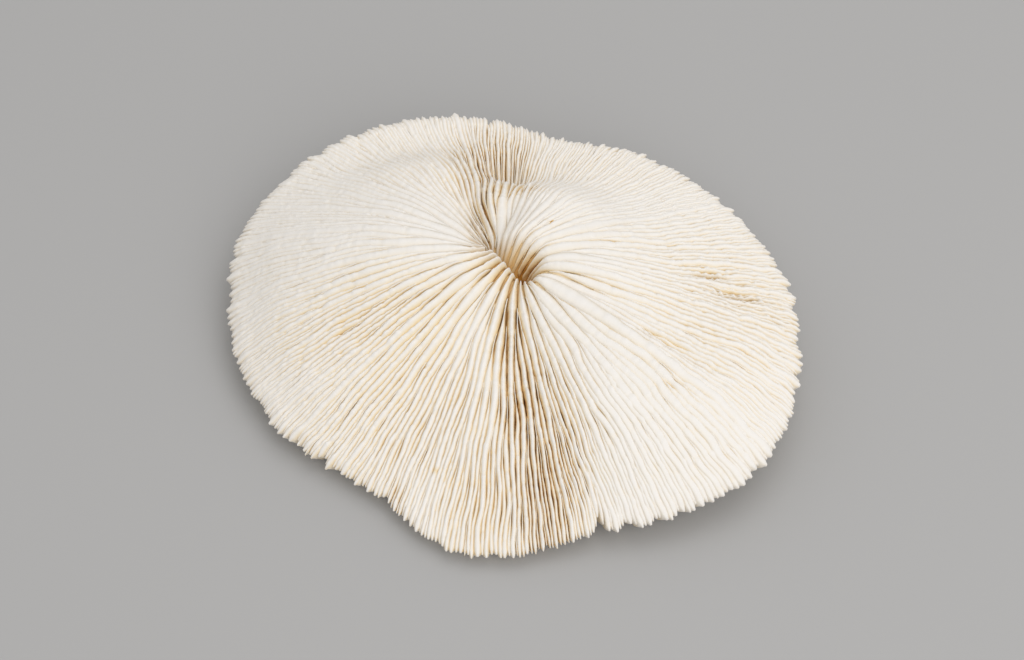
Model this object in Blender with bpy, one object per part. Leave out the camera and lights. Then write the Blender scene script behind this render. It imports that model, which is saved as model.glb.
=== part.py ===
# Skeleton of a solitary mushroom coral: one grown piece, a wavy plate with radiating ridges.
# Lengths are millimetres and are turned into metres where the vertices are made.
# +X is the right of the coral as seen, +Y points to its far side and +Z is up.

import math

import bmesh
import bpy
import numpy as np

METRES_PER_MM = 0.001

# The mouth is a slit; the ridges leave it at right angles and fan out to the rim.
MOUTH_AT = (-0.91, 10.18)
MOUTH_TURN = math.radians(-53.5)
MOUTH_REACH = 9.6
MOUTH_HALF_WIDTH = 0.8
MOUTH_DEPTH = 13.0

# How far the ridges curve down into the mouth, every 30 degrees from +X.
MOUTH_SHOULDER = (6.5, 6.0, 4.6, 3.2, 2.2, 1.8, 1.7, 1.7, 1.7, 2.2, 3.5, 5.5)

# Reach of the rim from the mouth, every 10 degrees anticlockwise from +X.
RIM_REACH = (90, 86, 82.5, 79, 76, 73, 69, 65, 64.5, 68, 72, 75,
             79, 83, 86, 88, 90, 90, 88, 87.5, 86, 84.5, 82.5, 80,
             80, 85, 91, 91.5, 89.5, 89, 94, 98, 100, 98.5, 95.5, 92)

# Crest heights from the mouth to the rim in five equal steps, every 30 degrees from +X.
CREST_PROFILES = (
    (36, 36, 32, 27, 23, 19),
    (37, 37, 34, 28, 24, 21),
    (36, 37, 34, 28, 26, 24),
    (31, 31, 31, 29, 28, 27),
    (29, 30, 31, 31, 28, 26),
    (31, 35, 36, 32, 26, 20),
    (35, 38, 37, 32, 24, 13),
    (37, 37, 33, 26, 18, 9),
    (37, 33, 27, 20, 13, 7),
    (35, 31, 26, 20, 12, 6.5),
    (35, 33, 31, 28, 21, 11),
    (36, 35, 33, 29, 25, 17),
)

# Folds in the plate: turn, half turn (degrees), place and half width along a ridge, height.
FOLDS = (
    (89, 11, 0.63, 0.080, -7.0),
    (118, 24, 0.80, 0.11, -3.0),
    (64, 24, 0.47, 0.15, 3.0),
    (335, 7, 0.30, 0.22, -1.8),
    (352, 9, 0.30, 0.22, 1.2),
    (96, 8, 0.33, 0.13, 3.5),
    (113, 8, 0.36, 0.16, -2.0),
)

# Ridges beside the hump bulge sideways: turn, half turn, reach, half width and degrees.
BULGE = (98, 13, 22, 10, 4.5)

# Ridges: every fourth one starts in the mouth and the others further out.
RIDGE_COUNT = 96
RIDGE_STARTS = (0.0, 0.20, 0.07, 0.20)
RIDGE_FADE = 0.12
RIDGE_DEPTH = 3.2
ROWS_ALONG = (0.012, 0.03, 0.055, 0.085, 0.12, 0.17, 0.23, 0.30, 0.37,
              0.44, 0.52, 0.60, 0.68, 0.76, 0.84, 0.91, 0.96)

# The rim: teeth stand out past the plate and their ends curve down to it.
TOOTH_REACH = 3.2
TIP_DROP = 1.8
BLADE_HEIGHT = 4.0
PLATE_LIP = 1.6
LIP_CLEARANCE = 0.6

# The flat scar on the underside, where the coral came off its stalk, is what it rests on.
SCAR_RADIUS = 27.0
SCAR_AT = (0.0, 0.0)
UNDER_ROWS = (0.72, 0.42)
UNDER_CURVE = 1.6


def around(values, turn):
    # Smooth closed curve through equally spaced values, read at turns of 0 to 1.
    values = np.asarray(values, dtype=float)
    place = (turn % 1.0) * len(values)
    first = np.floor(place).astype(int)
    t = place - first
    before, start, end, after = (values[(first + k) % len(values)] for k in (-1, 0, 1, 2))
    return 0.5 * (2 * start + (end - before) * t
                  + (2 * before - 5 * start + 4 * end - after) * t ** 2
                  + (3 * start - before - 3 * end + after) * t ** 3)


def outward(stations, along):
    # Smooth curve through equally spaced stations, given one array of values for each.
    last = len(stations) - 1
    first = min(int(along * last), last - 1)
    t = along * last - first
    before = stations[max(first - 1, 0)]
    start = stations[first]
    end = stations[first + 1]
    after = stations[min(first + 2, last)]
    return 0.5 * (2 * start + (end - before) * t
                  + (2 * before - 5 * start + 4 * end - after) * t ** 2
                  + (3 * start - before - 3 * end + after) * t ** 3)


def degrees_from(turn, centre):
    # Signed difference from a turn in degrees, the short way round.
    return (turn * 360 - centre + 180) % 360 - 180


def crest_height(along, turn):
    # Height of the ridge tops: the profiles, the folds and the hollow of the mouth.
    stations = [around(column, turn) for column in zip(*CREST_PROFILES)]
    height = outward(stations, along)
    for centre, half_turn, place, half_width, rise in FOLDS:
        offset = degrees_from(turn, centre)
        height = height + rise * np.exp(-(offset / half_turn) ** 2
                                        - ((along - place) / half_width) ** 2)
    reach = along * around(RIM_REACH, turn)
    return height - MOUTH_DEPTH * np.exp(-(reach / around(MOUTH_SHOULDER, turn)) ** 2)


def plan(reach, turn):
    # Plan position at a distance from the slit: hyperbolas that share the slit's two ends.
    centre, half_turn, place, half_width, most = BULGE
    offset = degrees_from(turn, centre)
    bulge = most * np.exp(-(offset / half_turn) ** 2 - ((reach - place) / half_width) ** 2)
    angle = turn * math.tau - MOUTH_TURN + np.radians(bulge)
    across = np.sqrt(MOUTH_REACH ** 2 + reach ** 2) * np.cos(angle)
    beside = reach * np.sin(angle)
    x = MOUTH_AT[0] + across * math.cos(MOUTH_TURN) - beside * math.sin(MOUTH_TURN)
    y = MOUTH_AT[1] + across * math.sin(MOUTH_TURN) + beside * math.cos(MOUTH_TURN)
    return x, y


def ridge_share(along):
    # 1 on a crest and 0 in a valley, for columns that alternate crest and valley.
    share = np.zeros(2 * RIDGE_COUNT)
    for ridge in range(RIDGE_COUNT):
        start = RIDGE_STARTS[ridge % len(RIDGE_STARTS)]
        share[2 * ridge] = 1.0 if start == 0 else np.clip((along - start) / RIDGE_FADE, 0, 1)
    return share


def ring(x, y, z):
    return np.column_stack((x, y, z))


def coral_rings():
    # Closed rings of the surface from the floor of the slit over the rim to the scar.
    turn = np.arange(2 * RIDGE_COUNT) / (2 * RIDGE_COUNT)
    rim = around(RIM_REACH, turn)
    rings = []
    for along in ROWS_ALONG:
        x, y = plan(np.maximum(along * rim, MOUTH_HALF_WIDTH), turn)
        depth = RIDGE_DEPTH * (1 - ridge_share(along))
        rings.append(ring(x, y, crest_height(along, turn) - depth))

    teeth = ridge_share(1.0)
    rim_height = crest_height(1.0, turn)
    tip_reach = rim - TOOTH_REACH * (1 - teeth)
    x, y = plan(tip_reach, turn)
    rings.append(ring(x, y, rim_height - TIP_DROP - (RIDGE_DEPTH - TIP_DROP) * (1 - teeth)))
    x, y = plan(rim - TOOTH_REACH, turn)
    lip_top = rim_height - BLADE_HEIGHT
    lip_bottom = np.maximum(lip_top - PLATE_LIP, LIP_CLEARANCE)
    rings.append(ring(x, y, lip_bottom))

    scar_x = SCAR_AT[0] + SCAR_RADIUS * np.cos(turn * math.tau)
    scar_y = SCAR_AT[1] + SCAR_RADIUS * np.sin(turn * math.tau)
    for share in UNDER_ROWS:
        rings.append(ring(scar_x + (x - scar_x) * share, scar_y + (y - scar_y) * share,
                          lip_bottom * share ** UNDER_CURVE))
    rings.append(ring(scar_x, scar_y, np.zeros_like(turn)))
    return rings


def loft(name, rings):
    # Closed skin through the rings; the first is shut across the slit, the last by one flat face.
    mesh = bmesh.new()
    columns = len(rings[0])
    rows = [[mesh.verts.new(point * METRES_PER_MM) for point in points] for points in rings]
    for upper, lower in zip(rows, rows[1:]):
        for k in range(columns):
            following = (k + 1) % columns
            mesh.faces.new((upper[k], lower[k], lower[following], upper[following]))
    mesh.faces.new(list(reversed(rows[-1])))
    mesh.edges.ensure_lookup_table()
    slit_edges = [edge for edge in mesh.edges if edge.is_boundary]
    bmesh.ops.triangle_fill(mesh, use_beauty=True, edges=slit_edges)
    bmesh.ops.recalc_face_normals(mesh, faces=mesh.faces)
    data = bpy.data.meshes.new(name)
    mesh.to_mesh(data)
    mesh.free()
    return data


def bleached_skeleton():
    material = bpy.data.materials.new("bleached skeleton")
    material.use_nodes = True
    shader = material.node_tree.nodes["Principled BSDF"]
    shader.inputs["Base Color"].default_value = (0.80, 0.74, 0.64, 1.0)
    shader.inputs["Roughness"].default_value = 0.75
    shader.inputs["Metallic"].default_value = 0.0
    return material


def build():
    for item in list(bpy.data.objects):
        bpy.data.objects.remove(item, do_unlink=True)
    parts = bpy.data.collections.new("mushroom coral")
    bpy.context.scene.collection.children.link(parts)

    data = loft("coral", coral_rings())
    coral = bpy.data.objects.new("coral", data)
    parts.objects.link(coral)
    data.materials.append(bleached_skeleton())
    data.shade_smooth()
    data.set_sharp_from_angle(angle=math.radians(50))


build()
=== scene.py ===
import math
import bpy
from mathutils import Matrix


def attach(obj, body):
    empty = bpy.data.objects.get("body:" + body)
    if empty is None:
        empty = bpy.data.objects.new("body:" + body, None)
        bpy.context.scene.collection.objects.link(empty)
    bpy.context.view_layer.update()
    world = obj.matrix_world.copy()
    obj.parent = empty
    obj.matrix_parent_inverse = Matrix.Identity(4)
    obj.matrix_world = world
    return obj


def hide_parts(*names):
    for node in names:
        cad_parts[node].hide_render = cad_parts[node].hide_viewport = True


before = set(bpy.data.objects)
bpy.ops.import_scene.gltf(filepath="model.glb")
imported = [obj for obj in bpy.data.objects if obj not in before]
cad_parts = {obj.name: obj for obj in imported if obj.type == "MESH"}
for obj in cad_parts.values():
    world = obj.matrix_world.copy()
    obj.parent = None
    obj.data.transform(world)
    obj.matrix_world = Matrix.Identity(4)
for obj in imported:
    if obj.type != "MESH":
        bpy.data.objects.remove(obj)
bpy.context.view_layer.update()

from types import SimpleNamespace

import bpy
import numpy as np

# Mushroom coral skeleton: several hundred thin blades stand on a wavy plate and fan out from a slit.
# Lengths are millimetres until the vertices are made. A turn of 1 is the whole way round.

metresPerMm = 0.001

# The macro form repeats the values of the solid that these pieces stand for.
form = {
    "mouthAt": (-0.91, 10.18),
    "mouthTurn": -53.5,    # degrees, the slit's direction
    "mouthReach": 9.6,     # half the slit's length
    "mouthHalfWidth": 0.8,
    "mouthDepth": 13.0,
    # width of the blades' inner shoulder, every 30 degrees from +X
    "shoulder": (6.5, 6.0, 4.6, 3.2, 2.2, 1.8, 1.7, 1.7, 1.7, 2.2, 3.5, 5.5),
    # reach of the rim from the mouth, every 10 degrees anticlockwise from +X
    "rimReach": (90, 86, 82.5, 79, 76, 73, 69, 65, 64.5, 68, 72, 75,
                 79, 83, 86, 88, 90, 90, 88, 87.5, 86, 84.5, 82.5, 80,
                 80, 85, 91, 91.5, 89.5, 89, 94, 98, 100, 98.5, 95.5, 92),
    # crest heights from the mouth to the rim in five equal steps, every 30 degrees
    "profiles": (
        (36, 36, 32, 27, 23, 19),
        (37, 37, 34, 28, 24, 21),
        (36, 37, 34, 28, 26, 24),
        (31, 31, 31, 29, 28, 27),
        (29, 30, 31, 31, 28, 26),
        (31, 35, 36, 32, 26, 20),
        (35, 38, 37, 32, 24, 13),
        (37, 37, 33, 26, 18, 9),
        (37, 33, 27, 20, 13, 7),
        (35, 31, 26, 20, 12, 6.5),
        (35, 33, 31, 28, 21, 11),
        (36, 35, 33, 29, 25, 17),
    ),
    # folds: turn and half turn in degrees, place and half width along a blade, rise
    "folds": (
        (89, 11, 0.63, 0.080, -7.0),
        (118, 24, 0.80, 0.11, -3.0),
        (64, 24, 0.47, 0.15, 3.0),
        (335, 7, 0.30, 0.22, -1.8),
        (352, 9, 0.30, 0.22, 1.2),
        (96, 8, 0.33, 0.13, 3.5),
        (113, 8, 0.36, 0.16, -2.0),
    ),
    # blades bulge sideways: turn and half turn in degrees, reach, half width, degrees
    "bulge": (98, 13, 22, 10, 4.5),
}


def between(low, high, share):
    # low + (high - low) * share.
    return low + (high - low) * share


def smooth(t):
    # 0 to 1 with level ends: 3t^2 - 2t^3.
    t = np.clip(t, 0, 1)
    return t * t * (3 - 2 * t)


def rising(value, start, length):
    # 0 up to the start, then a smooth step to 1 over the length.
    return smooth((value - start) / length)


def bell(a, b=0):
    # exp(-a^2 - b^2): 1 in the middle and about 0 from 2 on.
    return np.exp(-a ** 2 - b ** 2)


def degreesFrom(turn, centre):
    # Signed difference from a turn in degrees, the short way round.
    return (turn * 360 - centre + 180) % 360 - 180


def throughPoints(a, b, c, d, t):
    # Catmull-Rom curve from b to c, with a before them and d after them.
    return 0.5 * (2 * b + (c - a) * t + (2 * a - 5 * b + 4 * c - d) * t ** 2
                  + (3 * b - a - 3 * c + d) * t ** 3)


def around(values, turn):
    # Closed curve through equally spaced values, read at each turn.
    values = np.asarray(values, dtype=float)
    place = (turn % 1.0) * len(values)
    first = np.floor(place).astype(int)
    a, b, c, d = (values[(first + k) % len(values)] for k in (-1, 0, 1, 2))
    return throughPoints(a, b, c, d, place - first)


def outward(stations, along):
    # Open curve through equally spaced stations, read at each place along.
    last = len(stations) - 1
    place = np.clip(along, 0, 1) * last
    first = np.minimum(np.floor(place).astype(int), last - 1)
    stack = np.stack(stations)
    a, b, c, d = (np.take_along_axis(stack, np.clip(first + k, 0, last)[None], 0)[0]
                  for k in (-1, 0, 1, 2))
    return throughPoints(a, b, c, d, place - first)


def crestHeight(along, turn):
    # profile(along, turn) + sum of rise * bell(turn) * bell(along) - depth * bell(reach).
    height = outward([around(column, turn) for column in zip(*form["profiles"])], along)
    for centre, halfTurn, place, halfWidth, rise in form["folds"]:
        height = height + rise * bell(degreesFrom(turn, centre) / halfTurn, (along - place) / halfWidth)
    reach = along * around(form["rimReach"], turn)
    return height - form["mouthDepth"] * bell(reach / around(form["shoulder"], turn))


def plan(reach, turn):
    # (sqrt(c^2 + r^2) cos a, r sin a), turned to the slit: hyperbolas that share the slit's ends.
    # Beside the hump a grows by degrees * bell(turn) * bell(reach).
    slit = math.radians(form["mouthTurn"])
    centre, halfTurn, place, halfWidth, degrees = form["bulge"]
    bulge = degrees * bell(degreesFrom(turn, centre) / halfTurn, (reach - place) / halfWidth)
    angle = turn * math.tau - slit + np.radians(bulge)
    across = np.sqrt(form["mouthReach"] ** 2 + reach ** 2) * np.cos(angle)
    beside = reach * np.sin(angle)
    x = form["mouthAt"][0] + across * math.cos(slit) - beside * math.sin(slit)
    y = form["mouthAt"][1] + across * math.sin(slit) + beside * math.cos(slit)
    return x, y


def wideSide(turn):
    # 1 where the mouth's side is wide and 0 where it is steep: smooth step of the shoulder.
    return rising(around(form["shoulder"], turn), 2, 3)


def intoMouth(reach, turn):
    # How far down the mouth's wide sides: depth * bell(reach) * wideSide(turn).
    return form["mouthDepth"] * bell(reach / around(form["shoulder"], turn)) * wideSide(turn)


def wander(t, count, seed, waves):
    # Sum of a few sines with seeded phases, one row for each blade, about -1 to 1.
    dice = np.random.default_rng(seed)
    total = np.zeros_like(t)
    for wave in waves:
        phase = dice.uniform(0, math.tau, (count, 1))
        total = total + np.sin(t * wave * math.tau + phase) / len(waves)
    return total


septa = {
    "sectors": 28,             # blades that reach the mouth, one at each sector's edge
    "perSector": 16,
    "startsAt": (0.0, 0.74, 0.46, 0.74, 0.25, 0.74, 0.46, 0.74,
                 0.12, 0.74, 0.46, 0.74, 0.25, 0.74, 0.46, 0.74),
    "startSpread": (0.0, 0.16, 0.13, 0.16, 0.08, 0.16, 0.13, 0.16,
                    0.05, 0.16, 0.13, 0.16, 0.08, 0.16, 0.13, 0.16),
    "firstStarts": (0.002, 0.055),
    "makesRoomOver": 0.20,     # along a blade, while its neighbours move apart
    "narrowest": 0.02,         # share of its full lane that a blade has before it starts
    # lane of each blade against the others
    "weights": (1.3, 0.85, 1.0, 0.85, 1.15, 0.85, 1.0, 0.85,
                1.3, 0.85, 1.0, 0.85, 1.15, 0.85, 1.0, 0.85),
    "uneven": 0.14,
    "holeTurn": 0.89,          # where the mouth stays open
    "holeHalfTurn": 0.06,
    "holeReach": 0.022,
    "seed": 11,
}


def septumStarts():
    # starts[sector, place]: where each blade begins, as a share of the way to the rim.
    dice = np.random.default_rng(septa["seed"])
    shape = (septa["sectors"], septa["perSector"])
    starts = np.array(septa["startsAt"]) + np.array(septa["startSpread"]) * dice.uniform(-1, 1, shape)
    starts[:, 0] = dice.uniform(*septa["firstStarts"], septa["sectors"])
    turn = np.arange(septa["sectors"]) / septa["sectors"]
    starts[:, 0] += septa["holeReach"] * bell((turn - septa["holeTurn"]) / septa["holeHalfTurn"])
    return starts


def septumWeights():
    # weights[sector, place], the first blade of the next sector last, and the sectors' uneven edges.
    dice = np.random.default_rng(septa["seed"] + 1)
    shape = (septa["sectors"], septa["perSector"])
    weights = np.array(septa["weights"]) * (1 + septa["uneven"] * dice.uniform(-1, 1, shape))
    weights = np.concatenate((weights, np.roll(weights[:, :1], -1, axis=0)), axis=1)
    edges = np.arange(septa["sectors"]) + septa["uneven"] * dice.uniform(-1, 1, septa["sectors"])
    return weights, np.append(edges, edges[0] + septa["sectors"])


starts = septumStarts()
weights, sectorEdges = septumWeights()


def sectorShares(sector, along):
    # Shares of the lanes from a sector's first blade to the next sector's, and the turn of one share.
    # A blade's share grows from nearly 0 where it starts, so its neighbours move apart.
    begin = starts[sector][:, None, :]
    grown = between(septa["narrowest"], 1, rising(along[..., None], begin, septa["makesRoomOver"]))
    grown[..., 0] = 1.0
    closing = np.ones(grown.shape[:2] + (1,))
    shares = np.concatenate((grown, closing), axis=2) * weights[sector][:, None, :]
    whole = shares.sum(axis=2) - (shares[..., 0] + shares[..., -1]) / 2
    span = sectorEdges[sector + 1] - sectorEdges[sector]
    return shares, span[:, None] / whole / septa["sectors"]


def laneShares(index, along):
    # The turn of each lane's middle is the sector's edge and the shares before it.
    sector = index // septa["perSector"]
    place = index % septa["perSector"]
    shares, unit = sectorShares(sector, along)
    unitBefore = sectorShares((sector - 1) % septa["sectors"], along)[1]
    middles = np.cumsum(shares, axis=2) - shares / 2
    row = np.broadcast_to(place[:, None], along.shape)[..., None]
    middle = np.take_along_axis(middles, row, 2)[..., 0] - middles[..., 0]
    own = np.take_along_axis(shares, row, 2)[..., 0]
    turn = sectorEdges[sector][:, None] / septa["sectors"] + unit * middle
    widest = np.where(place[:, None] == 0, np.maximum(unit, unitBefore), unit)
    return turn, widest * own


# What marks single places of the coral. A row of the first four lists holds a plan position, the
# half widths of a bell round it, and the bell's height.
marks = {
    # broken or worn crests, loss in millimetres
    "worn": (
        (61.8, 12.0, 6.5, 2.8, 1.4),       # damaged patch near the right rim, upper part
        (70.0, 4.1, 8.0, 2.4, 1.4),        # and lower part
        (41.0, -17.3, 2.4, 2.4, 0.6),      # chip beside the long crease
    ),
    # dirt between the blades, and painted shade in the shadowed gaps of the valley, by the hump and in the
    # slit's hole, share
    "stains": (
        (10.0, -60.0, 11.0, 24.0, 1.0),    # brown wedge in front of the mouth, from the rim inwards
        (4.5, -39.0, 8.0, 16.0, 0.9),
        (0.0, -20.0, 5.0, 20.0, 0.6),
        (-5.0, 54.0, 13.0, 17.0, 0.65),    # painted shade in the valley's gaps at the far rim
        (-8.5, 28.0, 4.0, 14.0, 0.55),     # and painted shade beside the hump
        (5.0, 8.0, 4.0, 4.5, 1.0),         # painted shadow in the hole at the slit's wide end
        (-6.0, 41.0, 3.5, 5.0, 0.9),       # painted shade at the foot of the hump
        (-33.5, -60.0, 2.5, 7.0, 0.8),     # notch in the near rim
        (61.8, 12.0, 6.0, 2.4, 1.0),       # the two damaged patches
        (70.0, 4.1, 8.0, 2.0, 1.0),
    ),
    # small dark specks, share
    "specks": (
        (12.8, 22.8, 0.7, 0.3, 1.2),       # on the hump
        (-22.3, -54.2, 0.45, 0.9, 0.45),   # near the front rim
    ),
    # depth of the gaps between the blades in millimetres, over the least one
    "open": (
        (10.0, -58.0, 11.0, 27.0, 2.7),    # wedge in front of the mouth
        (-8.0, -60.0, 18.0, 26.0, 1.5),
        (4.0, -38.0, 10.0, 18.0, 2.5),
        (0.0, -18.0, 7.0, 22.0, 2.3),
        (-6.0, 56.0, 15.0, 16.0, 2.0),     # valley behind the mouth
        (-9.0, 30.0, 4.5, 15.0, 1.7),
        (2.0, 42.0, 11.0, 5.0, 1.8),
        (-6.0, 5.0, 8.0, 10.0, 1.5),       # round the slit
        (9.0, 13.0, 14.0, 13.0, 0.4),
        (5.0, 8.0, 4.0, 4.5, 2.8),
        (-28.0, -36.0, 34.0, 28.0, 1.3),   # left side
        (-42.0, -10.0, 30.0, 16.0, 1.4),
        (-33.5, -60.0, 2.5, 7.0, 1.6),
        (20.0, 56.0, 40.0, 14.0, 0.4),     # far side
        (-30.0, 58.0, 26.0, 18.0, 0.4),
        (66.0, -2.0, 26.0, 30.0, 1.35),    # right side, with its damaged patches
        (61.5, -5.7, 5.0, 1.5, 2.0),
        (48.4, -34.0, 4.0, 1.8, 1.7),
        (61.8, 12.0, 7.0, 3.5, 2.0),
        (70.0, 4.1, 9.0, 3.5, 2.2),
    ),
    # runs of blades that stand lower than their neighbours: turn and half turn in degrees,
    # place and half width along a blade, depth
    "creases": (
        (328.5, 1.3, 0.57, 0.12, 1.5),     # long crease on the right, and the swell below it
        (326, 1.7, 0.28, 0.09, 1.6),
        (323, 3.5, 0.48, 0.22, -0.6),
        (12, 1.4, 0.55, 0.20, 0.8),        # short ones elsewhere
        (205, 1.2, 0.60, 0.20, 0.5),
        (158, 1.5, 0.45, 0.25, 0.4),
    ),
}

blade = {
    "height": (10.5, 8.5, 6.8, 5.4, 4.4, 4.0),   # above the plate, from the mouth to the rim
    "longest": 90.0,
    "stationEvery": 0.75,
    "seed": 23,

    # its run in plan
    "sway": (0.14, 0.0005),   # share of the lane, and the most it may turn
    "swayWaves": (2.3, 4.9, 8.3),
    "bend": 0.0008,           # turn, a slow sideways wave that neighbours share
    "ripple": (0.0001, 0.0008),   # turn, a quick one: on the left and on the right
    "straightTo": 0.1,        # along
    "rimSpread": (-0.9, 0.4),     # how far single blades end from the rim, millimetres
    "endsSooner": 2.0,        # times a set's drop at the rim, millimetres
    "ragged": 0.9,            # short runs of blades that end early, millimetres
    # notches in the rim: turn and half turn in degrees, depth
    "notches": ((288.5, 0.9, 4.0), (243, 1.2, 2.2), (303, 0.8, 2.0), (340, 0.8, 1.8), (335, 0.6, 1.6),
                (23, 0.6, 1.5), (128, 1.0, 1.6), (225, 1.0, 1.6), (265, 0.6, 1.5), (95, 0.8, 1.5)),

    # the gaps beside it
    "leastGap": 0.36,
    "creaseGap": 0.6,         # added for each millimetre of a crease
    "shallow": (0.4, 1.4),    # most that the plate lies below the crests: least, and share of the gap
    "ditch": (0.2, 0.1),      # a gap's line on the flank: least below the crest and above the foot

    # half width as a share of the lane: the foot, half way up the gap and near the crest
    "sharpShares": (0.62, 0.33, 0.13),   # at the mouth
    "roundShares": (0.62, 0.43, 0.27),   # outside
    "roundFrom": 65.0,        # millimetres from the mouth
    "clear": 0.08,            # share missing at the foot where dirt and painted shade lie
    "slot": 0.07,             # and where a slot opens in them
    "slotWaves": (5.1, 8.7, 13.1),
    "slotRise": (0.30, 0.30),
    "thinner": 0.07,          # share missing above the foot where dirt and painted shade lie
    "thinnest": 0.12,         # half width, millimetres
    "uneven": 0.14,           # how much the thickness changes along a blade
    "unevenWaves": (7.3, 12.1, 23.0),
    "lean": 0.13,             # share of the lane that crests lean to the back
    "leaning": (0, 0, 0.5, 0.9, 1, 0.9, 0.5, 0, 0),   # from the foot over the crest
    "startWidth": 0.10,       # share of the full width where it starts
    "footStartWidth": 0.35,
    "taper": (0.18, 0.07),    # along, from there to full width, and how much less on wide sides
    "endWidth": 0.40,         # share of the full width at its outer end
    "endLength": 1.3,

    # the free teeth at the rim
    "toothReach": 4.6,        # past the plate's edge
    "toothGap": 1.6,          # length of the gaps between them, and what dirt and painted shade add to it
    "toothGapMore": 3.4,
    "toothThinner": 0.2,      # share missing beside those gaps
    "toothCurve": 1.6,
    "toothDepth": (0.5, 0.4),     # from crest to foot at its tip, and the least anywhere
    "joinsOver": 6.0,         # length over which the foot comes down to the plate's underside
    "tipDrop": (1.6, 4.0),    # how far the crest comes down, over what length

    # the crest
    "catchUp": 0.30,          # along, from the drop where it starts to the drop at the rim
    "wave": (0.10, 0.12),     # millimetres, and share of the gap
    "waveWaves": (6.1, 11.3, 19.7),
    "bead": (0.08, 0.5),      # fine waves in millimetres, and for each millimetre of wear
    "beadWaves": (29.0, 37.0, 43.0),
    "break": (0.12, 0.15),    # dips where it is broken: millimetres, and share of the gap
    "breakWaves": (13.0, 19.0, 31.0),
    "breakRise": (0.42, 0.25),
    "breakFrom": 30.0,        # millimetres from the mouth
    # uneven tips where the hump ends: turn and half turn in degrees, place, half width, height
    "humpTips": (86, 14, 0.52, 0.06, 3.6),
    "lobe": 0.055,            # rounding of the inner end, along
    "lobeCurve": 2.4,
    "hidden": 0.3,            # how deep a blade that hasn't started lies in the gap
    "topLength": 0.14,        # share of the gap's depth under the crest that is its sharp edge
    "sunk": 0.6,              # foot below the plate's top

    # painted shade: how much depth darkens a point, and how much of the dirt and painted shade lies on it,
    # from foot over crest
    "shading": (1, 1, 0.85, 0.5, 0.22, 0.5, 0.85, 1, 1),
    "dirtAndShadeByPoint": (1, 1, 0.8, 0.1, 0, 0.1, 0.8, 1, 1),
    "darkestAt": 6.0,         # millimetres below the crests
    "darkestMore": (2.5, 22.0),   # added at the mouth, and how far round it
    "mouthPaintedShade": 0.017,       # painted shade for each millimetre down the wide sides of the mouth
    "bareTooth": (0.85, 3.0),     # share of the painted depth shade that a tooth's foot loses, over what length
}


def bladeHeight(along):
    # Height of the blades over the plate, along.
    knots = np.linspace(0, 1, len(blade["height"]))
    return np.interp(along, knots, blade["height"])


def creased(along, turn):
    # Sum of depth * bell(turn) * bell(along) over the creases.
    total = 0
    for centre, halfTurn, place, halfWidth, depth in marks["creases"]:
        total = total + depth * bell(degreesFrom(turn, centre) / halfTurn, (along - place) / halfWidth)
    return total


def notched(turn):
    # How far the rim stands back: sum of depth * bell(turn) and a wave of short runs.
    total = blade["ragged"] * smooth(np.sin(turn * math.tau * 47 + 2 * np.sin(turn * math.tau * 11)))
    for centre, halfTurn, depth in blade["notches"]:
        total = total + depth * bell((turn * 360 - centre) / halfTurn)
    return total


def highest(places, x, y):
    # Largest of height * bell(x) * bell(y) over the listed places.
    total = np.zeros_like(x)
    for spotX, spotY, spreadX, spreadY, height in places:
        total = np.maximum(total, height * bell((x - spotX) / spreadX, (y - spotY) / spreadY))
    return total


def gapDepth(x, y, along, turn):
    # Depth of the gaps: the least one, the open places and a share of the creases.
    creaseGap = blade["creaseGap"] * np.maximum(creased(along, turn), 0)
    return blade["leastGap"] + highest(marks["open"], x, y) + creaseGap


def plateDepth(along, gap):
    # The plate's top lies below the crests by the blades' height, or less where the gaps are shallow.
    least, ofGap = blade["shallow"]
    return np.minimum(bladeHeight(along), least + ofGap * gap)


def bladeRuns(index, drops, seed, dice):
    # Middle lines in plan: turn = the lane's + sway + bend + ripple, and reach = along * rim.
    # bend = sin(15a + 5t) sin(8a - 11t), ripple = sin(58a + 4 sin 5t) sin(21a + 14t).
    count = len(index)
    begin = starts[index // septa["perSector"], index % septa["perSector"]][:, None]
    steps = int(blade["longest"] * (1 - begin.min()) / blade["stationEvery"])
    t = np.linspace(0, 1, steps)[None, :]
    along = begin + (1 - begin) * t
    turn, lane = laneShares(index, along)

    ofLane, most = blade["sway"]
    sway = np.minimum(lane * ofLane, most)
    turn = turn + sway * wander(along, count, seed + 1, blade["swayWaves"]) * smooth(t * 8)
    bend = np.sin(along * 15 + turn * math.tau * 5) * np.sin(along * 8 - turn * math.tau * 11)
    ripple = np.sin(along * 58 + 4 * np.sin(turn * math.tau * 5)) * np.sin(along * 21 + turn * math.tau * 14)
    ripple = ripple * between(*blade["ripple"], (0.5 + 0.5 * np.cos(turn * math.tau)) ** 4)
    turn = turn + (blade["bend"] * bend + ripple) * smooth((along - blade["straightTo"]) * 3)
    spread = dice.uniform(*blade["rimSpread"], (count, 1))
    rim = around(form["rimReach"], turn) + spread - drops[1] * blade["endsSooner"]
    rim = rim - notched(turn[:, -1:])
    reach = np.maximum(along * rim, form["mouthHalfWidth"])
    x, y = plan(reach, turn)

    # which way is left of the line, and how wide its lane is there
    alongX, alongY = np.gradient(x, axis=1), np.gradient(y, axis=1)
    length = np.hypot(alongX, alongY) + 1e-9
    leftX, leftY = -alongY / length, alongX / length
    nudge = 0.0005
    besideX, besideY = plan(reach, turn + nudge)
    spacing = np.abs((besideX - x) * leftX + (besideY - y) * leftY) / nudge * lane
    place = reach / around(form["rimReach"], turn)
    return SimpleNamespace(count=count, along=along, since=along - begin, turn=turn, reach=reach,
                           place=place, endward=rim - reach, x=x, y=y, leftX=leftX, leftY=leftY,
                           spacing=spacing, gap=gapDepth(x, y, place, turn),
                           stain=highest(marks["stains"], x, y),
                           later=(index % septa["perSector"] > 0)[:, None])


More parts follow.
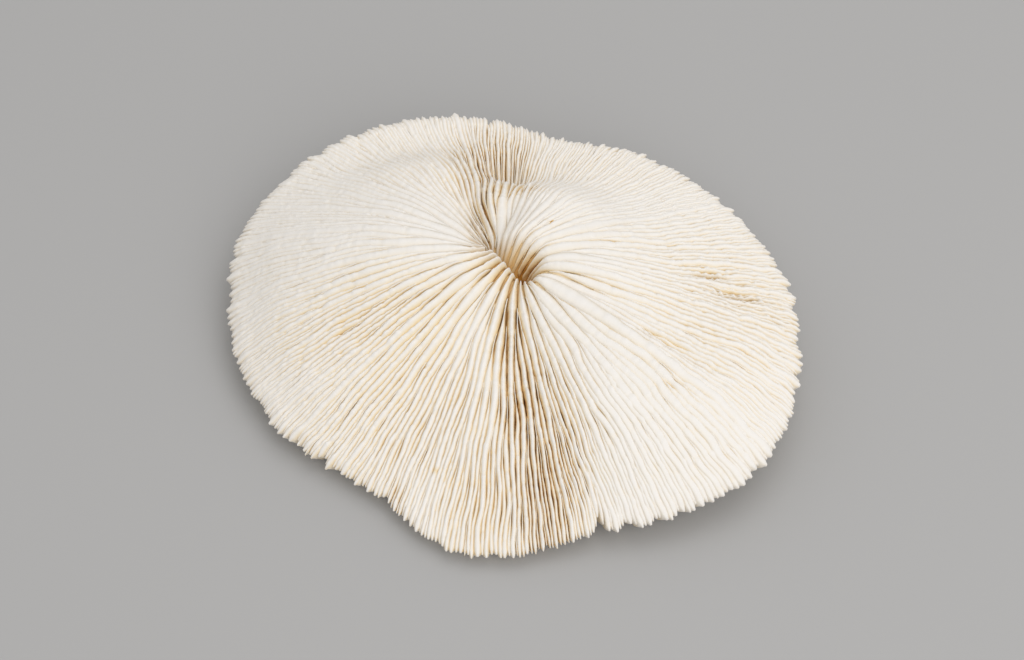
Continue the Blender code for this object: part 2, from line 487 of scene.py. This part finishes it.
def bladeWidths(run, seed):
    # Half widths up one side: share of the lane * pointed ends * uneven thickness.
    rounder = smooth(run.reach / blade["roundFrom"])
    foot, middle, upper = (between(sharp, wider, rounder)
                           for sharp, wider in zip(blade["sharpShares"], blade["roundShares"]))
    free = smooth(1 - run.endward / (blade["toothGap"] + blade["toothGapMore"] * run.stain))
    slot = rising(wander(run.along, run.count, seed + 3, blade["slotWaves"]), *blade["slotRise"])
    opened = (blade["clear"] + blade["slot"] * slot) * smooth(run.stain * 2)
    foot = foot - opened - blade["toothThinner"] * free
    end = between(blade["endWidth"], 1, smooth(run.endward / blade["endLength"]))
    taper, less = blade["taper"]
    start = between(blade["startWidth"], 1, smooth(run.since / (taper - less * wideSide(run.turn)) + 0.05))
    footEnds = end * between(blade["footStartWidth"], 1, start)
    ends = end * start
    ends = ends * (1 + blade["uneven"] * wander(run.along, run.count, seed + 4, blade["unevenWaves"]))
    above = [(np.minimum(foot, share) - blade["thinner"] * run.stain) * ends for share in (middle, upper)]
    shares = np.stack([foot * footEnds, foot * footEnds] + above, axis=2)
    return np.maximum(shares * run.spacing[..., None], blade["thinnest"]), ends


def bladeCrests(run, drops, seed, dice):
    # full = form - creases - wear - the drop at the rim, the height of the tallest crests.
    # crest = full - the set's drop + waves + beads - breaks + the hump's tips.
    worn = highest(marks["worn"], run.x, run.y)
    full = crestHeight(run.place, run.turn) - creased(run.place, run.turn) - worn
    drop, over = blade["tipDrop"]
    full = full - drop * (1 - np.clip(run.endward / over, 0, 1)) ** 2
    crest = full - run.gap * between(drops[1], drops[0], 1 - smooth(run.since / blade["catchUp"]))

    least, ofGap = blade["wave"]
    wave = wander(run.along, run.count, seed + 2, blade["waveWaves"])
    crest = crest + (least + ofGap * run.gap) * wave
    least, ofWear = blade["bead"]
    bead = wander(run.along, run.count, seed + 5, blade["beadWaves"])
    crest = crest + (least * (1 + run.gap) + ofWear * worn) * bead
    least, ofGap = blade["break"]
    broken = rising(wander(run.along, run.count, seed + 6, blade["breakWaves"]), *blade["breakRise"])
    crest = crest - broken * (least + ofGap * run.gap) * smooth(run.reach / blade["breakFrom"])
    centre, halfTurn, place, halfWidth, height = blade["humpTips"]
    hump = bell((run.turn * 360 - centre) / halfTurn, (run.place - place) / halfWidth)
    crest = crest + height * hump * dice.uniform(-0.5, 0.5, (run.count, 1))

    # blades that start outside the mouth rise out of the gap with a rounded end
    lobe = 1 - (1 - np.clip(run.since / blade["lobe"], 0, 1)) ** blade["lobeCurve"]
    low = full - run.gap - blade["hidden"]
    return full, np.where(run.later, between(low, crest, lobe), crest)


def bladeBottoms(run, full, crest):
    # Sunk in the plate, level with its underside at its edge, and up to the crest in the free teeth.
    bottom = full - plateDepth(run.along, run.gap) - blade["sunk"]
    outside = smooth(1 - (run.endward - blade["toothReach"]) / blade["joinsOver"])
    bottom = between(bottom, lipBottom(run.turn), outside)
    tooth = np.clip(1 - run.endward / blade["toothReach"], 0, 1)
    atTip, least = blade["toothDepth"]
    bottom = between(bottom, crest - atTip, tooth ** blade["toothCurve"])
    return np.minimum(bottom, crest - least)


def bladeShades(run, full, high):
    # Painted shade: hollow = depth below the tallest crests / the darkest depth + the mouth's painted shade,
    # plus real dark specks.
    speck = highest(marks["specks"], run.x, run.y)[..., None]
    # painted shade that deepens down the mouth's wide sides
    mouthShade = blade["mouthPaintedShade"] * intoMouth(run.reach, run.turn)
    more, near = blade["darkestMore"]
    darkest = (blade["darkestAt"] + more * bell(run.reach / near))[..., None]
    hollow = np.clip((full[..., None] - high) / darkest * np.array(blade["shading"])
                     + mouthShade[..., None] + speck, 0, 1)
    share, over = blade["bareTooth"]
    bare = share * smooth(1 - (run.endward - blade["toothReach"]) / over)[..., None]
    hollow = hollow * (1 - bare * np.array((1, 0, 0, 0, 0, 0, 0, 0, 1)))
    stain = np.maximum(run.stain[..., None] * np.array(blade["dirtAndShadeByPoint"]), 2 * speck)
    return hollow, stain


def bladeGrid(index, drops, seed):
    # Sections of nine points along every blade of a set: up one side, the crest and down the other.
    # drops is how far the crest lies below the tallest ones where the blade starts, and at the rim,
    # as a share of the gap's depth.
    dice = np.random.default_rng(blade["seed"] + seed)
    run = bladeRuns(index, drops, seed, dice)
    wide, ends = bladeWidths(run, seed)
    full, crest = bladeCrests(run, drops, seed, dice)
    bottom = bladeBottoms(run, full, crest)
    below, above = blade["ditch"]
    ditch = np.maximum(np.minimum(full - run.gap, crest - below), bottom + above)
    high = np.stack((bottom, ditch, 0.5 * (crest + ditch),
                     between(crest, ditch, blade["topLength"]), crest), axis=2)
    high = np.concatenate((high, high[..., 3::-1]), axis=2)
    wide = np.concatenate((wide, 0 * wide[..., :1], -wide[..., ::-1]), axis=2)
    lean = blade["lean"] * run.leftY * run.spacing * ends
    wide = wide + lean[..., None] * np.array(blade["leaning"])
    points = np.stack((run.x[..., None] + run.leftX[..., None] * wide,
                       run.y[..., None] + run.leftY[..., None] * wide, high), axis=3)
    hollow, stain = bladeShades(run, full, high)
    return points, hollow, stain


def sectionFaces(count, steps, ring):
    # Quads between neighbouring sections of each strip, as one array.
    k = np.arange(steps - 1)[None, :, None]
    p = np.arange(ring)[None, None, :]
    base = np.arange(count)[:, None, None] * steps * ring
    following = (p + 1) % ring
    a = base + k * ring + p
    b = base + k * ring + following
    c = base + (k + 1) * ring + following
    d = base + (k + 1) * ring + p
    return np.stack((a, b, c, d), axis=3).reshape(-1, 4)


def makeMesh(name, points, quads, extra, **shades):
    # Vertices in millimetres, quads as an array, a few other faces for the ends, and a value for
    # each vertex under each shade's name.
    mesh = bpy.data.meshes.new(name)
    sizes = np.concatenate((np.full(len(quads), 4), np.array([len(f) for f in extra], dtype=int)))
    corners = np.concatenate([quads.ravel()] + [np.asarray(f).ravel() for f in extra]).astype(np.int32)
    mesh.vertices.add(len(points))
    mesh.vertices.foreach_set("co", (points * metresPerMm).astype(np.float32).ravel())
    mesh.loops.add(len(corners))
    mesh.loops.foreach_set("vertex_index", corners)
    mesh.polygons.add(len(sizes))
    mesh.polygons.foreach_set("loop_start", np.concatenate(([0], np.cumsum(sizes)[:-1])).astype(np.int32))
    mesh.update(calc_edges=True)
    mesh.validate()
    for shade, values in shades.items():
        layer = mesh.attributes.new(shade, "FLOAT", "POINT")
        layer.data.foreach_set("value", values.astype(np.float32).ravel())
    mesh.shade_smooth()
    piece = bpy.data.objects.new(name, mesh)
    bpy.context.scene.collection.objects.link(piece)
    return piece


def septaSet(name, places, drops, seed):
    # All blades at the given places of each sector, joined in one mesh.
    sector = np.arange(septa["sectors"]) * septa["perSector"]
    index = (sector[:, None] + np.array(places)[None, :]).ravel()
    points, hollow, stain = bladeGrid(index, drops, seed)
    count, steps, ring, _ = points.shape
    quads = sectionFaces(count, steps, ring)
    first = np.arange(count)[:, None] * steps * ring + np.arange(ring)[None, ::-1]
    last = np.arange(count)[:, None] * steps * ring + (steps - 1) * ring + np.arange(ring)[None, :]
    piece = makeMesh(name, points.reshape(-1, 3), quads, list(first) + list(last),
                     hollow=hollow, stain=stain)
    print(name, count, "blades", len(piece.data.polygons), "faces")
    return piece


plate = {
    "thickness": 1.6,
    "clearance": 0.6,         # the lowest the rim comes to what the coral rests on
    "columns": 768,
    "mouthRows": (0.009, 0.03, 0.06),
    "topRows": 36,
    "topFrom": 0.1,
    "topShade": 0.9,          # of what a blade would have at the same depth
    "lip": 0.7,               # how far the edge stands out
    "lipRows": ((0.3, 0.10), (0.8, 0.09)),   # share of the way down, shade
    "underRows": 44,
    "underCurve": 1.6,
    "underWaves": ((0.12, 3, 9), (0.10, 7, -14)),   # height, waves round the coral, twist
    "costae": 192,            # ribs of the underside, each with its row of low knobs
    "costaHeight": 0.4,
    "knobs": (0.7, 0.3, 60),  # even part, knobbly part, and how close the knobs stand
    "underLeast": 0.25,
    "underShade": (0.09, 0.05),   # middle, and how much lighter the ribs are than the grooves: painted shade between the ribs
    "scarRadius": 27.0,
    "scarRows": (0.96, 0.8, 0.55, 0.3, 0.08),
    "scarRing": (0.5, 0.55, 2.4, 0.4),   # hollow of the scar: height, place, steepness, unevenness
    "scarShade": (0.08, 0.06),    # least, and how much it varies
    "seed": 5,
}


def lipBottom(turn):
    # Underside of the plate at its edge.
    top = crestHeight(np.ones_like(turn), turn) - bladeHeight(1.0)
    return np.maximum(top - plate["thickness"], plate["clearance"])


def plateTop(turn, edge):
    # Rows from the slit to the edge: the crests' height - creases - the plate's depth below them.
    rows = []
    shades = []
    wholeRim = around(form["rimReach"], turn)
    for along in np.concatenate((plate["mouthRows"], np.linspace(plate["topFrom"], 1, plate["topRows"]))):
        reach = np.maximum(along * edge, form["mouthHalfWidth"])
        x, y = plan(reach, turn)
        place = reach / wholeRim
        depth = plateDepth(place, gapDepth(x, y, place, turn))
        rows.append(np.stack((x, y, crestHeight(place, turn) - creased(place, turn) - depth), axis=1))
        # painted shade of the plate's top by its depth below the crests, and down the mouth's wide sides
        mouthShade = blade["mouthPaintedShade"] * intoMouth(reach, turn)
        shades.append(np.clip(plate["topShade"] * depth / blade["darkestAt"] + mouthShade, 0, 1))
    return rows, shades


def plateUnderside(turn, edgeX, edgeY, lip):
    # Rows from the edge to the scar: lip * share^curve + slow waves - ribs with knobs. Then the
    # scar, flat at its edge and a little hollow inside.
    dice = np.random.default_rng(plate["seed"])
    rib = np.cos(turn * math.tau * plate["costae"])
    phases = np.repeat(dice.uniform(0, math.tau, plate["costae"]), plate["columns"] // plate["costae"])
    even, knobbly, close = plate["knobs"]
    middle, lighter = plate["underShade"]
    scarX = plate["scarRadius"] * np.cos(turn * math.tau)
    scarY = plate["scarRadius"] * np.sin(turn * math.tau)
    rows = []
    shades = []
    for share in np.linspace(1, 0, plate["underRows"]):
        wave = 0
        for height, waves, twist in plate["underWaves"]:
            wave = wave + height * np.sin(turn * math.tau * waves + share * twist)
        z = lip * share ** plate["underCurve"] + wave * share * (1 - share) * 4
        knobs = even + knobbly * np.sin(share * close + phases)
        z = z - plate["costaHeight"] * rib * smooth(share * 3) * knobs
        z = np.maximum(z, plate["underLeast"] * smooth(share * 6))
        rows.append(np.stack((between(scarX, edgeX, share), between(scarY, edgeY, share), z), axis=1))
        # painted shade: the grooves between the ribs darker than the ribs
        shades.append(middle - lighter * rib)
    height, place, steepness, unevenness = plate["scarRing"]
    least, varies = plate["scarShade"]
    for share in plate["scarRows"]:
        ring = height * (1 - smooth(abs(share - place) * steepness))
        z = ring * (1 + unevenness * np.sin(turn * math.tau * 4))
        rows.append(np.stack((scarX * share, scarY * share, np.maximum(z, 0)), axis=1))
        shades.append(least + dice.uniform(0, varies, len(turn)))
    return rows, shades


def plateGrid():
    # Rings of the plate: its top from the slit to the edge, round the lip, then the underside.
    turn = np.arange(plate["columns"]) / plate["columns"]
    edge = around(form["rimReach"], turn) - blade["toothReach"] - notched(turn)
    rows, shades = plateTop(turn, edge)
    lip = lipBottom(turn)
    lipTop = rows[-1][:, 2]
    lipX, lipY = plan(edge + plate["lip"], turn)
    for down, shade in plate["lipRows"]:
        rows.append(np.stack((lipX, lipY, lipTop - down * (lipTop - lip)), axis=1))
        shades.append(np.full_like(turn, shade))
    underRows, underShades = plateUnderside(turn, *plan(edge, turn), lip)
    return np.stack(rows + underRows), np.stack(shades + underShades)


def eachOnce(corners):
    # A face's corners in their order, without the one that comes twice at the slit's ends.
    return corners[np.sort(np.unique(corners, return_index=True)[1])]


def makePlate():
    points, hollow = plateGrid()
    rows, columns, _ = points.shape
    quads = sectionFaces(1, rows, columns)[:, ::-1]
    # across the slit's floor each point meets the one that faces it over the slit's length
    half = columns // 2
    offset = int(round(form["mouthTurn"] / 360 * columns))
    k = np.arange(half)
    near = (offset + k) % columns
    nearNext = (offset + k + 1) % columns
    far = (offset - k) % columns
    farNext = (offset - k - 1) % columns
    floor = [eachOnce(corners) for corners in np.stack((near, nearNext, farNext, far), axis=1)]
    last = (rows - 1) * columns + np.arange(columns)
    onTop = np.arange(rows)[:, None] < len(plate["mouthRows"]) + plate["topRows"]
    stain = highest(marks["stains"], points[..., 0], points[..., 1]) * onTop
    piece = makeMesh("plate", points.reshape(-1, 3), quads, floor + [last[::-1]],
                     hollow=hollow, stain=stain)
    print("plate", len(piece.data.polygons), "faces")
    return piece


skeletonLook = {
    # painted shade: colour by depth below the crests, cream at the crest to brown deep down: share of the
    # darkest depth, colour
    "colours": (                  # crest, flank, gap and deep gap
        (0.00, (0.86, 0.825, 0.78)),
        (0.05, (0.85, 0.79, 0.70)),
        (0.20, (0.84, 0.675, 0.41)),
        (0.60, (0.74, 0.41, 0.08)),
    ),
    # brown of the dirt, and of the painted shade in the valley, by the hump and in the slit's hole
    "dirtAndShadeColour": (0.38, 0.155, 0.012),
    "dirtAndShadeFrom": (0.10, 0.36),     # depth where it begins to lie, and where it covers all
    "dirtAndShadePatches": (0.38, 0.56),  # noise where it begins to show, and where it is full
    "dirtAndShadeScale": 420,
    "dirtAndShadeDetail": 4,
    "speck": (0.10, 0.065, 0.03),
    "speckFrom": (1.1, 1.8),      # more dirt than any stain has
    "roughness": 0.72,
    "grainScale": 1400,
    "grainDetail": 3,
    "grainStrength": 0.25,
    "grainDepth": 0.0004,
}


def skeletonMaterial():
    # Cream crests turn tan with depth as painted shade, dirt and painted shade lie in patches below them,
    # and a fine grain roughens all.
    material = bpy.data.materials.new("bleached skeleton")
    material.use_nodes = True
    nodes, links = material.node_tree.nodes, material.node_tree.links
    shader = nodes["Principled BSDF"]
    shader.inputs["Roughness"].default_value = skeletonLook["roughness"]
    place = nodes.new("ShaderNodeTexCoord")

    def attribute(name):
        node = nodes.new("ShaderNodeAttribute")
        node.attribute_name = name
        return node.outputs["Fac"]

    def noise(scale, detail):
        node = nodes.new("ShaderNodeTexNoise")
        node.inputs["Scale"].default_value = scale
        node.inputs["Detail"].default_value = detail
        links.new(place.outputs["Object"], node.inputs["Vector"])
        return node.outputs["Fac"]

    def ramp(value, stops):
        node = nodes.new("ShaderNodeValToRGB")
        elements = node.color_ramp.elements
        for element, (position, colour) in zip(elements, (stops[0], stops[-1])):
            element.position = position
            element.color = (*colour, 1)
        for position, colour in stops[1:-1]:
            elements.new(position).color = (*colour, 1)
        links.new(value, node.inputs["Fac"])
        return node.outputs["Color"]

    def within(value, low, high):
        node = nodes.new("ShaderNodeMapRange")
        node.inputs["From Min"].default_value = low
        node.inputs["From Max"].default_value = high
        links.new(value, node.inputs["Value"])
        return node.outputs["Result"]

    def times(first, second):
        node = nodes.new("ShaderNodeMath")
        node.operation = "MULTIPLY"
        links.new(first, node.inputs[0])
        links.new(second, node.inputs[1])
        return node.outputs["Value"]

    def covered(colour, cover, share):
        node = nodes.new("ShaderNodeMix")
        node.data_type = "RGBA"
        node.inputs["B"].default_value = (*cover, 1)
        links.new(share, node.inputs["Factor"])
        links.new(colour, node.inputs["A"])
        return node.outputs["Result"]

    hollow = attribute("hollow")
    stain = attribute("stain")
    # painted shade: the depth value picks cream, tan or brown
    cleanWithDepthShade = ramp(hollow, skeletonLook["colours"])
    start, full = skeletonLook["dirtAndShadePatches"]
    dirtAndShadeNoise = noise(skeletonLook["dirtAndShadeScale"], skeletonLook["dirtAndShadeDetail"])
    patches = ramp(dirtAndShadeNoise, ((start, (0, 0, 0)), (full, (1, 1, 1))))
    # dirt and painted shade lie where the field, the noise patches and enough depth meet
    dirtAndShadeShare = times(times(stain, patches), within(hollow, *skeletonLook["dirtAndShadeFrom"]))
    dirtAndShadeOn = covered(cleanWithDepthShade, skeletonLook["dirtAndShadeColour"], dirtAndShadeShare)
    specked = covered(dirtAndShadeOn, skeletonLook["speck"], within(stain, *skeletonLook["speckFrom"]))
    links.new(specked, shader.inputs["Base Color"])

    bump = nodes.new("ShaderNodeBump")
    bump.inputs["Strength"].default_value = skeletonLook["grainStrength"]
    bump.inputs["Distance"].default_value = skeletonLook["grainDepth"]
    links.new(noise(skeletonLook["grainScale"], skeletonLook["grainDetail"]), bump.inputs["Height"])
    links.new(bump.outputs["Normal"], shader.inputs["Normal"])
    print("skeleton material made")
    return material


# Each set of blades: name, places in a sector, drops of the crests, seed.
septaSets = (
    ("septa-first", (0, 8), (0.0, 0.0), 100),
    ("septa-second", (4, 12), (0.30, 0.05), 200),
    ("septa-third", (2, 6, 10, 14), (0.40, 0.18), 300),
    ("septa-fourth-a", (1, 3, 5, 7), (0.50, 0.36), 400),
    ("septa-fourth-b", (9, 11, 13, 15), (0.50, 0.36), 500),
)


def makeCoral():
    skeleton = skeletonMaterial()
    for piece in [makePlate()] + [septaSet(*row) for row in septaSets]:
        piece.data.materials.append(skeleton)
        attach(piece, "root")
        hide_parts("coral")


studio = {
    "floorColour": (0.42, 0.415, 0.41),
    "floorRoughness": 0.8,
    "floorSize": 6.0,
    "skyColour": (1.0, 1.0, 1.0),
    "skyStrength": 0.63,
    # lamps: name, place in metres, width, watts, colour
    "lamps": (
        ("key", (0.24, 0.35, 1.13), 1.0, 3.4, (1.0, 0.985, 0.965)),
        ("fill", (0.42, -0.93, 0.79), 1.2, 6.9, (0.99, 0.99, 1.0)),
    ),
    "lampsAimAt": (0, 0, 0.01),
}


def makeFloor():
    half = studio["floorSize"] / 2
    mesh = bpy.data.meshes.new("floor")
    mesh.from_pydata([(-half, -half, 0), (half, -half, 0), (half, half, 0), (-half, half, 0)], [],
                     [(0, 1, 2, 3)])
    floor = bpy.data.objects.new("floor", mesh)
    bpy.context.scene.collection.objects.link(floor)
    material = bpy.data.materials.new("pale floor")
    material.use_nodes = True
    shader = material.node_tree.nodes["Principled BSDF"]
    shader.inputs["Base Color"].default_value = (*studio["floorColour"], 1)
    shader.inputs["Roughness"].default_value = studio["floorRoughness"]
    mesh.materials.append(material)


def aimAt(thing, target):
    # Turns a lamp or the camera so that its -Z looks at the target.
    direction = np.array(target) - np.array(thing.location)
    flat = math.hypot(direction[0], direction[1])
    thing.rotation_euler = (math.atan2(flat, -direction[2]), 0, math.atan2(-direction[0], direction[1]))


def makeLights():
    for name, place, width, watts, colour in studio["lamps"]:
        light = bpy.data.lights.new(name, "AREA")
        light.size = width
        light.energy = watts
        light.color = colour
        lamp = bpy.data.objects.new(name, light)
        lamp.location = place
        aimAt(lamp, studio["lampsAimAt"])
        bpy.context.scene.collection.objects.link(lamp)
    world = bpy.data.worlds.new("studio")
    world.use_nodes = True
    sky = world.node_tree.nodes["Background"]
    sky.inputs["Color"].default_value = (*studio["skyColour"], 1)
    sky.inputs["Strength"].default_value = studio["skyStrength"]
    bpy.context.scene.world = world


view = {
    "target": (0.0007, -0.0021, 0.014),
    "elevation": 50,
    "distance": 0.70,
    "lens": 79.2,
    "sensorWidth": 36,
    "clipStart": 0.01,
}


def makeCamera():
    data = bpy.data.cameras.new("camera")
    data.lens = view["lens"]
    data.sensor_width = view["sensorWidth"]
    data.clip_start = view["clipStart"]
    camera = bpy.data.objects.new("camera", data)
    rise = math.radians(view["elevation"])
    x, y, z = view["target"]
    camera.location = (x, y - view["distance"] * math.cos(rise), z + view["distance"] * math.sin(rise))
    aimAt(camera, view["target"])
    bpy.context.scene.collection.objects.link(camera)
    bpy.context.scene.camera = camera


makeCoral()
makeFloor()
makeLights()
makeCamera()
print("floor, lamps and camera made")
bpy.context.scene.view_settings.view_transform = "Standard"
print("pieces made")
